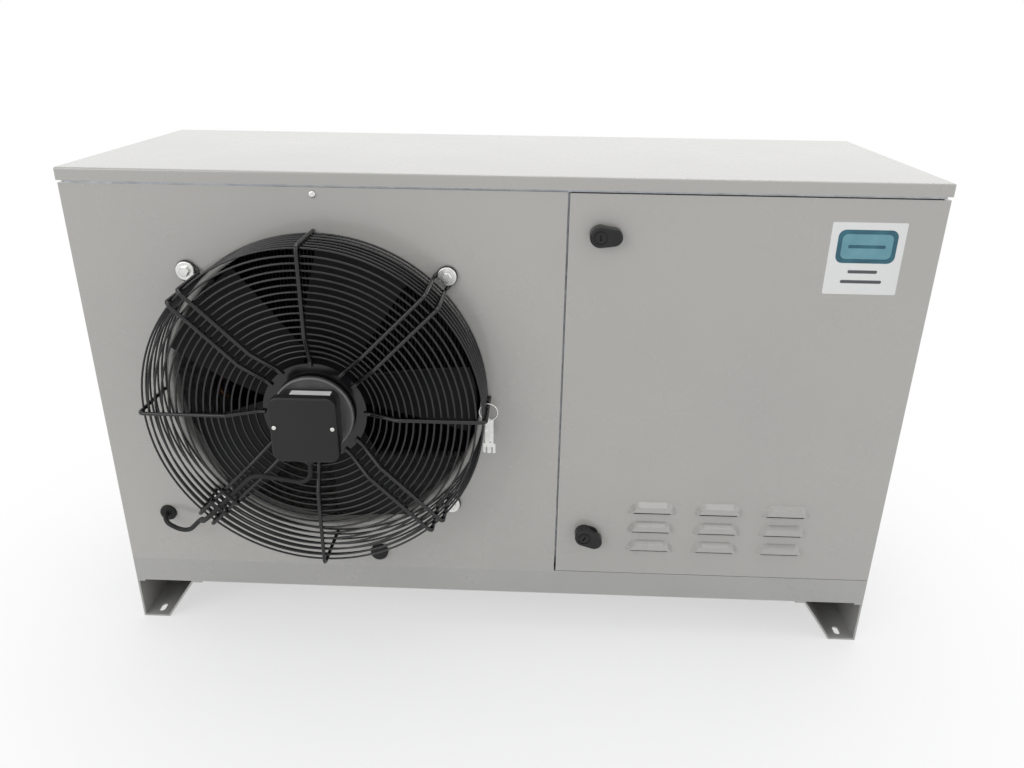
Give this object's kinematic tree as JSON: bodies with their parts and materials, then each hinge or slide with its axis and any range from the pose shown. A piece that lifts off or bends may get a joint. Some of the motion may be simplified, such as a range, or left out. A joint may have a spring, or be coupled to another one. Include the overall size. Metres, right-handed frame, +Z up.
{
  "type": "refrigeration condensing unit",
  "caption": "Box-type air-cooled condensing unit on two foot rails, with a wire-guarded axial fan, a louvred service door on two turn latches and a full refrigerant circuit inside.",
  "frame": {"origin": "on the floor, at the middle of the whole unit's bounding box seen from above", "axes": "+X to the right seen from the fan side, +Y from the fan side to the coil side, +Z up"},
  "size_m": [1.204, 0.5566, 0.751],
  "materials": {
    "base_paint": "satin",
    "black_plastic": "fine texture",
    "black_rubber": "matt",
    "black_wire": "gloss",
    "brass": "machined",
    "cabinet_paint": "gloss",
    "copper": "drawn copper",
    "fan_black": "matt",
    "fin_aluminium": "mill",
    "galvanised": "satin",
    "glass": "clear",
    "grey_plastic": "moulded",
    "motor_metal": "cast",
    "red_plastic": "moulded",
    "shell_black": "satin",
    "zinc": "bright zinc"
  },
  "bodies": {
    "casing": {"base_tray": "base_paint", "cable_gland": "black_plastic", "cable_ties": "black_plastic", "casing_screws": "zinc", "coil_end_plates": "galvanised", "coil_fins": "fin_aluminium", "coil_return_bends": "copper", "compressor": "shell_black", "compressor_base": "galvanised", "compressor_rubbers": "black_rubber", "compressor_terminal_cover": "black_plastic", "condensate_pipe": "copper", "contactor": "black_plastic", "control_plate": "galvanised", "discharge_pipe": "copper", "fan_panel": "cabinet_paint", "filter_drier": "copper", "foot_rail_left": "base_paint", "foot_rail_right": "base_paint", "guard_arms": "black_wire", "guard_bolts": "zinc", "guard_hub_ring": "black_wire", "guard_rings": "black_wire", "guard_rods": "black_wire", "hinge_pins": "galvanised", "latch_strike": "galvanised", "left_side_panel": "cabinet_paint", "liquid_pipes": "copper", "liquid_receiver": "shell_black", "motor_bearings": "motor_metal", "motor_cable": "black_rubber", "motor_end_cap": "motor_metal", "motor_stator": "motor_metal", "panel_grommets": "black_rubber", "partition": "galvanised", "pressure_switch": "grey_plastic", "rear_panel": "cabinet_paint", "receiver_stand": "galvanised", "right_side_panel": "cabinet_paint", "roof": "cabinet_paint", "service_valves": "brass", "sight_glass": "brass", "sight_glass_lens": "glass", "suction_pipe": "copper", "terminal_box": "black_plastic", "terminal_cover": "black_plastic", "terminal_strip": "grey_plastic", "top_frame": "galvanised"},
    "fan_rotor": {"motor_rotor": "fan_black", "fan_blades": "fan_black"},
    "door": {"door_panel": "cabinet_paint", "door_seal": "black_rubber", "hinge_knuckles": "galvanised", "latch_bases": "black_plastic"},
    "upper_latch": {"upper_latch_knob": "black_plastic", "upper_latch_cam": "black_plastic"},
    "lower_latch": {"lower_latch_knob": "black_plastic", "lower_latch_cam": "black_plastic"},
    "reset_button": {"reset_button": "red_plastic"},
    "service_keys": {"service_keys": "zinc"}
  },
  "joints": [
    {"name": "fan_spin", "type": "hinge", "parent": "casing", "child": "fan_rotor", "pos_m": [-0.254, -0.17375, 0.427], "axis": [0, 1, 0], "continuous": true},
    {"name": "door_swing", "type": "hinge", "parent": "casing", "child": "door", "pos_m": [0.594, -0.14775, 0.425], "axis": [0, 0, 1], "range_deg": [0, 110]},
    {"name": "upper_latch_turn", "type": "hinge", "parent": "door", "child": "upper_latch", "pos_m": [0.1403, -0.15375, 0.6735], "axis": [0, -1, 0], "range_deg": [0, 90]},
    {"name": "lower_latch_turn", "type": "hinge", "parent": "door", "child": "lower_latch", "pos_m": [0.1403, -0.15375, 0.195], "axis": [0, -1, 0], "range_deg": [0, 115]},
    {"name": "reset_press", "type": "slide", "parent": "casing", "child": "reset_button", "axis": [0, 1, 0], "range_m": [0, 0.003], "stiffness_N_per_m": 150},
    {"name": "keys_swing", "type": "hinge", "parent": "casing", "child": "service_keys", "pos_m": [-0.00965, -0.18775, 0.427], "axis": [0, -1, 0], "range_deg": [-2, 60]}
  ]
}
